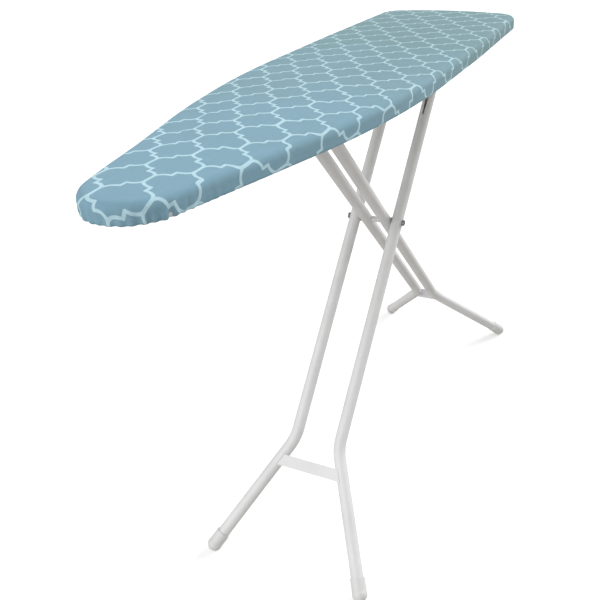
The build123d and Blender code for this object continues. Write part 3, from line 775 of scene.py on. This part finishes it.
# ---- Welds ----
# The outer frame's flat crossbar is welded to both tubes: one rippled bead up each end of it,
# on the nose side, painted over with the frame.
def weld_bead(name, start, end, thickness):
    """A bead between two points, modelled upright and turned into its place."""
    run = end - start
    bpy.ops.object.select_all(action="DESELECT")
    bpy.ops.mesh.primitive_cylinder_add(vertices=10, radius=thickness, depth=run.length,
                                        location=(start + end) / 2,
                                        rotation=run.to_track_quat("Z", "Y").to_euler())
    bead = bpy.context.object
    bead.name = name
    half = run.length / 2
    bpy.ops.object.mode_set(mode="EDIT")
    bpy.ops.mesh.select_all(action="DESELECT")
    shape = bmesh.from_edit_mesh(bead.data)
    for edge in shape.edges:
        edge.select_set(abs(edge.verts[0].co.z - edge.verts[1].co.z) > half)
    bpy.ops.mesh.subdivide(number_cuts=15)
    bpy.ops.mesh.select_all(action="DESELECT")
    shape = bmesh.from_edit_mesh(bead.data)
    pitch = run.length / 16
    for vertex in shape.verts:
        vertex.select_set(round((vertex.co.z + half) / pitch) % 2 == 1)
    bpy.ops.transform.resize(value=(0.84, 0.84, 1.0), orient_type="LOCAL")
    bpy.ops.mesh.select_all(action="DESELECT")
    for vertex in shape.verts:
        vertex.select_set(abs(vertex.co.z) > half - 0.1 * pitch)
    bpy.ops.transform.resize(value=(0.45, 0.45, 1.0), orient_type="LOCAL")
    bpy.ops.object.mode_set(mode="OBJECT")
    bpy.ops.object.transform_apply(location=True, rotation=True, scale=True)
    bpy.ops.object.shade_smooth()
    bead.data.materials.append(leg_paint)
    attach(bead, "outer_frame")


leg_lean = radians(43.0)
bead_thickness = 0.0016
up_leg = Vector((sin(leg_lean), 0.0, cos(leg_lean)))
off_leg = Vector((-cos(leg_lean), 0.0, sin(leg_lean)))
bar_points = [v.co.copy() for v in nodes["outer_crossbar"].data.vertices]
front = max(off_leg.dot(p) for p in bar_points)
front_points = [p for p in bar_points if off_leg.dot(p) > front - 0.0003]
for name, side in (("weld_near", -1), ("weld_far", 1)):
    end_points = [p for p in front_points if side * p.y > 0]
    highest = max(up_leg.dot(p) for p in end_points)
    lowest = min(up_leg.dot(p) for p in end_points)
    top_corner = max((p for p in end_points if up_leg.dot(p) > highest - 0.001),
                     key=lambda p: side * p.y)
    low_corner = max((p for p in end_points if up_leg.dot(p) < lowest + 0.001),
                     key=lambda p: side * p.y)
    weld_bead(name, low_corner, top_corner, bead_thickness)


# ---- Feet and plugs ----
# Moulded caps pushed over the tubes' ends, matt and a little softer than the paint.
def moulded(name, colour, rough):
    """Injection-moulded plastic with a fine sparked texture."""
    finish = bpy.data.materials.new(name)
    finish.use_nodes = True
    tree = finish.node_tree
    shader = tree.nodes["Principled BSDF"]
    place = tree.nodes.new("ShaderNodeTexCoord")
    grain = tree.nodes.new("ShaderNodeTexNoise")
    grain.inputs["Scale"].default_value = 1500.0
    grain.inputs["Detail"].default_value = 3.0
    tree.links.new(place.outputs["Object"], grain.inputs["Vector"])
    scuff = tree.nodes.new("ShaderNodeTexNoise")
    scuff.inputs["Scale"].default_value = 60.0
    scuff.inputs["Detail"].default_value = 5.0
    tree.links.new(place.outputs["Object"], scuff.inputs["Vector"])
    tone = tree.nodes.new("ShaderNodeMix")
    tone.data_type = "RGBA"
    tone.inputs["A"].default_value = tuple(0.93 * c for c in colour) + (1,)
    tone.inputs["B"].default_value = tuple(colour) + (1,)
    tree.links.new(scuff.outputs["Fac"], tone.inputs["Factor"])
    tree.links.new(tone.outputs["Result"], shader.inputs["Base Color"])
    bump = tree.nodes.new("ShaderNodeBump")
    bump.inputs["Strength"].default_value = 0.35
    bump.inputs["Distance"].default_value = 0.0002
    tree.links.new(grain.outputs["Fac"], bump.inputs["Height"])
    tree.links.new(bump.outputs[0], shader.inputs["Normal"])
    shader.inputs["Roughness"].default_value = rough
    return finish


give(moulded("foot_plastic", (0.74, 0.75, 0.75), 0.42), "outer_foot_far", "outer_foot_near",
     "inner_foot_far", "inner_foot_near", "inner_plugs")
give(moulded("nylon", (0.62, 0.62, 0.57), 0.5), "top_spacers", "centre_washers", "slide_bushes")
give(moulded("grip_vinyl", (0.075, 0.085, 0.09), 0.55), "lever_grip")


# ---- Bright hardware ----
# Zinc-plated rods, pins, nuts and the rack, drawn spring wire and aluminium rivets.
def plated(name, colour, rough):
    """Bare or plated metal with fine drawing marks and a clouded tone."""
    finish = bpy.data.materials.new(name)
    finish.use_nodes = True
    tree = finish.node_tree
    shader = tree.nodes["Principled BSDF"]
    place = tree.nodes.new("ShaderNodeTexCoord")
    squash = tree.nodes.new("ShaderNodeVectorMath")
    squash.operation = "MULTIPLY"
    squash.inputs[1].default_value = (1400.0, 120.0, 1400.0)
    tree.links.new(place.outputs["Object"], squash.inputs[0])
    marks = tree.nodes.new("ShaderNodeTexNoise")
    marks.inputs["Scale"].default_value = 1.0
    marks.inputs["Detail"].default_value = 2.0
    tree.links.new(squash.outputs[0], marks.inputs["Vector"])
    cloud = tree.nodes.new("ShaderNodeTexNoise")
    cloud.inputs["Scale"].default_value = 90.0
    tree.links.new(place.outputs["Object"], cloud.inputs["Vector"])
    tone = tree.nodes.new("ShaderNodeMix")
    tone.data_type = "RGBA"
    tone.inputs["A"].default_value = tuple(0.75 * c for c in colour) + (1,)
    tone.inputs["B"].default_value = tuple(colour) + (1,)
    tree.links.new(cloud.outputs["Fac"], tone.inputs["Factor"])
    tree.links.new(tone.outputs["Result"], shader.inputs["Base Color"])
    worn = tree.nodes.new("ShaderNodeMapRange")
    worn.inputs["To Min"].default_value = rough - 0.08
    worn.inputs["To Max"].default_value = rough + 0.12
    tree.links.new(marks.outputs["Fac"], worn.inputs["Value"])
    tree.links.new(worn.outputs["Result"], shader.inputs["Roughness"])
    shader.inputs["Metallic"].default_value = 1.0
    return finish


give(plated("zinc", (0.56, 0.57, 0.58), 0.36), "height_rack", "lever_rod", "lever_finger",
     "guide_pins", "top_pins", "centre_rod", "slide_rod")
give(plated("dull_zinc", (0.33, 0.33, 0.33), 0.45), "top_nuts", "centre_nuts")
give(plated("spring_wire", (0.45, 0.46, 0.47), 0.3), "lever_spring")
give(plated("rivet_alloy", (0.68, 0.69, 0.70), 0.4), "rib_rivets", "hanger_rivets")
